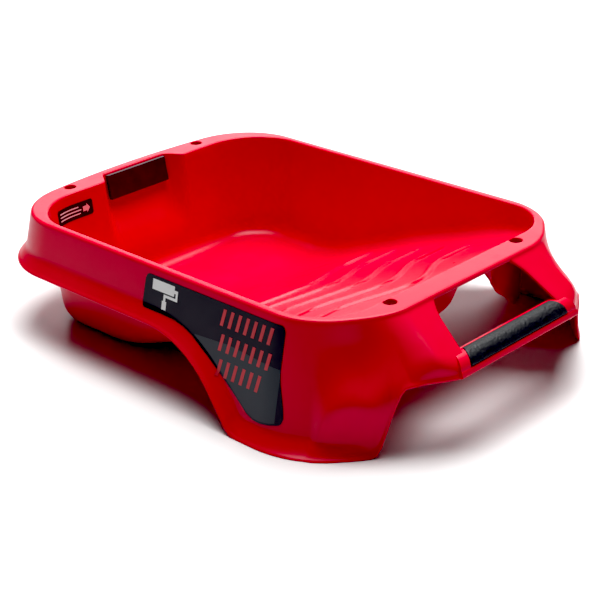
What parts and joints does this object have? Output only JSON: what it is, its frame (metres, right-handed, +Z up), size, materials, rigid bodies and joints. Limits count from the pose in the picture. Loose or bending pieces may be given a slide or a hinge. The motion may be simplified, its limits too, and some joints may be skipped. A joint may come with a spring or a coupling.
{
  "type": "paint roller tray",
  "caption": "Deep moulded paint roller tray with a ribbed ramp, bowed rim, skirted feet, a rubber-gripped carrying handle and a brush magnet.",
  "frame": {"origin": "centre of the footprint box, on the surface the tray stands on", "axes": "+X from the deep well end to the handle end, +Y to the side without the decal, +Z up"},
  "size_m": [0.5206, 0.3868, 0.109],
  "materials": {
    "red_moulding": "satin",
    "grip_rubber": "matte",
    "magnet": "matte",
    "adhesive_pad": "matte",
    "side_decal_film": "satin",
    "label_film": "satin"
  },
  "bodies": {
    "root": {"tray_body": "red_moulding", "handle_grip": "grip_rubber", "brush_magnet": "magnet", "magnet_adhesive_pad": "adhesive_pad", "side_decal": "side_decal_film", "instruction_label": "label_film"}
  },
  "joints": []
}
